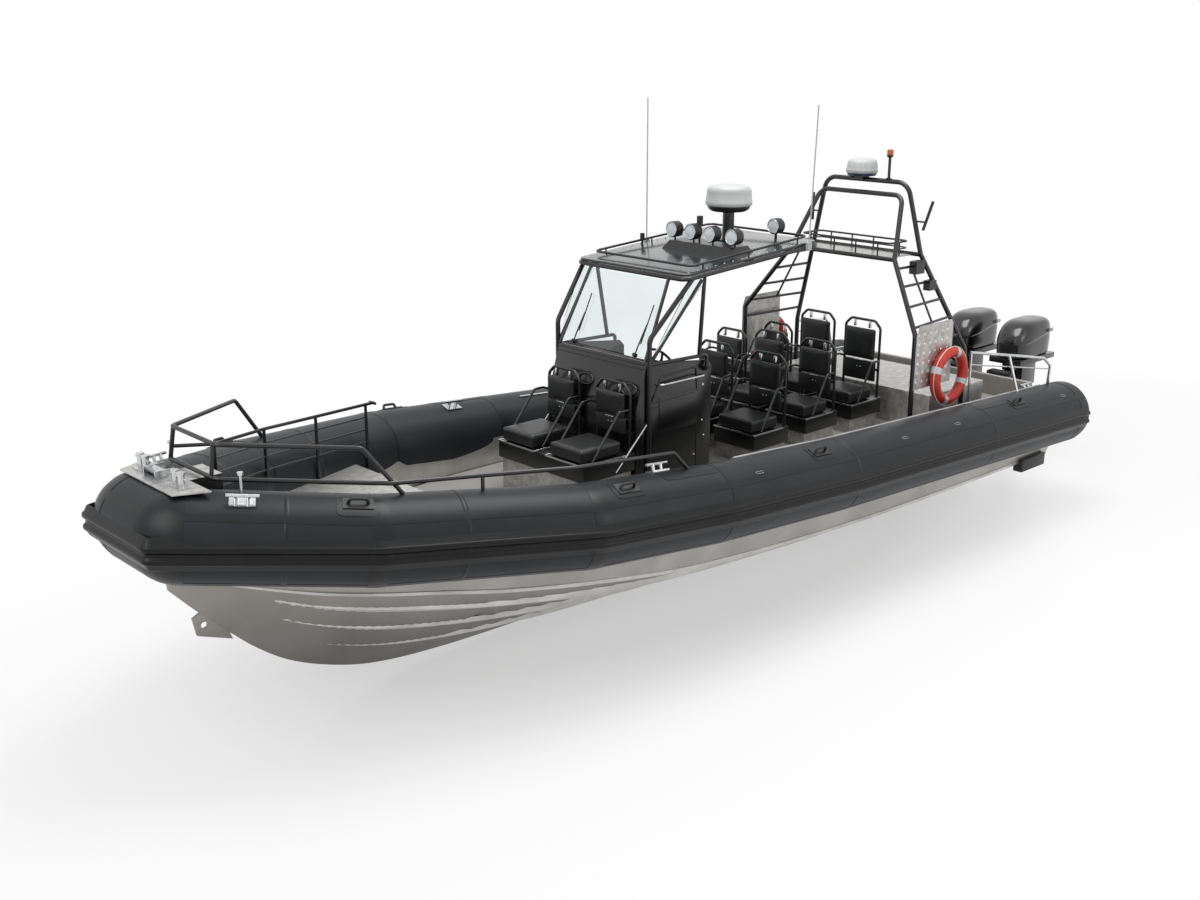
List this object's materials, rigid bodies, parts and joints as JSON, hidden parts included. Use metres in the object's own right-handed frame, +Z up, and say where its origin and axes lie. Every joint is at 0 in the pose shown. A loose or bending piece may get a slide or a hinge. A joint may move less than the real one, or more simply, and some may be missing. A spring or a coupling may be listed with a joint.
{
  "type": "rigid inflatable boat",
  "caption": "Open rigid inflatable boat with an aluminium hull, inflated collar, canopied helm console, rows of seats, an aft arch and twin tilting outboards.",
  "frame": {"origin": "on the centre line at the waterline, below the stern ends of the tubes", "axes": "+X forward to the bow, +Y to port, +Z up"},
  "size_m": [12.64, 4.036, 4.8029],
  "materials": {
    "tube": "satin",
    "strake": "satin",
    "hull_metal": "satin",
    "bare_metal": "brushed",
    "floor": "rough",
    "console_paint": "satin",
    "black_metal": "satin",
    "black_plastic": "satin",
    "cushion": "matte",
    "chrome": "polished",
    "steel": "brushed",
    "engine_black": "gloss",
    "engine_iron": "rough",
    "white_plastic": "gloss",
    "glass": "clear",
    "orange": "satin",
    "amber": "gloss"
  },
  "bodies": {
    "boat": {"aft_locker": "bare_metal", "arch_basket": "black_metal", "arch_dome": "white_plastic", "arch_frame": "black_metal", "arch_shelf": "bare_metal", "beacon": "amber", "bow_bitts": "steel", "bow_eye": "bare_metal", "bow_plate": "bare_metal", "bow_rails": "black_metal", "bow_step": "floor", "canopy_frame": "black_metal", "console": "console_paint", "console_rails": "steel", "dash": "black_plastic", "deck": "floor", "engine_brackets": "engine_iron", "engine_pods": "hull_metal", "grab_handles": "black_plastic", "hull": "hull_metal", "lamp_bar": "black_metal", "lifebuoys": "orange", "radar_dome": "white_plastic", "radar_pedestal": "black_metal", "roof_lamps": "black_plastic", "roof_panel": "black_metal", "roof_rails": "black_metal", "rub_strake": "strake", "seat_backs": "cushion", "seat_boxes": "black_metal", "seat_cushions": "cushion", "seat_frames": "black_metal", "seat_plinths": "bare_metal", "side_linings": "bare_metal", "side_panels": "bare_metal", "side_windows": "glass", "spray_rails": "hull_metal", "stern_rails": "steel", "transom": "hull_metal", "trim_tabs": "black_plastic", "tube_cleats": "steel", "tube_collar": "tube", "whip_antennas": "white_plastic", "windscreen": "glass"},
    "tilt_bracket_port": {"swivel_port": "engine_iron"},
    "outboard_port": {"engine_leg_port": "engine_black", "engine_cowl_port": "engine_black", "powerhead_port": "engine_iron"},
    "screw_port": {"propeller_port": "steel"},
    "tilt_bracket_starboard": {"swivel_starboard": "engine_iron"},
    "outboard_starboard": {"engine_leg_starboard": "engine_black", "engine_cowl_starboard": "engine_black", "powerhead_starboard": "engine_iron"},
    "screw_starboard": {"propeller_starboard": "steel"},
    "wheel": {"helm_wheel": "black_plastic"}
  },
  "joints": [
    {"name": "tilt_port", "type": "hinge", "parent": "boat", "child": "tilt_bracket_port", "pos_m": [-0.72, 0.39, 0.54], "axis": [0, 1, 0], "range_deg": [-4, 64]},
    {"name": "steer_port", "type": "hinge", "parent": "tilt_bracket_port", "child": "outboard_port", "pos_m": [-0.91, 0.39, 0.32], "axis": [0, 0, 1], "range_deg": [-25, 25]},
    {"name": "spin_port", "type": "hinge", "parent": "outboard_port", "child": "screw_port", "pos_m": [-1.355, 0.39, -0.44], "axis": [1, 0, 0], "continuous": true},
    {"name": "tilt_starboard", "type": "hinge", "parent": "boat", "child": "tilt_bracket_starboard", "pos_m": [-0.72, -0.39, 0.54], "axis": [0, 1, 0], "range_deg": [-4, 64]},
    {"name": "steer_starboard", "type": "hinge", "parent": "tilt_bracket_starboard", "child": "outboard_starboard", "pos_m": [-0.91, -0.39, 0.32], "axis": [0, 0, 1], "range_deg": [-25, 25]},
    {"name": "spin_starboard", "type": "hinge", "parent": "outboard_starboard", "child": "screw_starboard", "pos_m": [-1.355, -0.39, -0.44], "axis": [1, 0, 0], "continuous": true},
    {"name": "helm", "type": "hinge", "parent": "boat", "child": "wheel", "pos_m": [5.455, 0.25, 1.64], "axis": [-0.8575, 0, 0.5145], "range_deg": [-500, 500]}
  ],
  "couplings": [
    {"joint": "steer_starboard", "follows": "steer_port", "ratio": 1},
    {"joint": "helm", "follows": "steer_port", "ratio": 18}
  ]
}
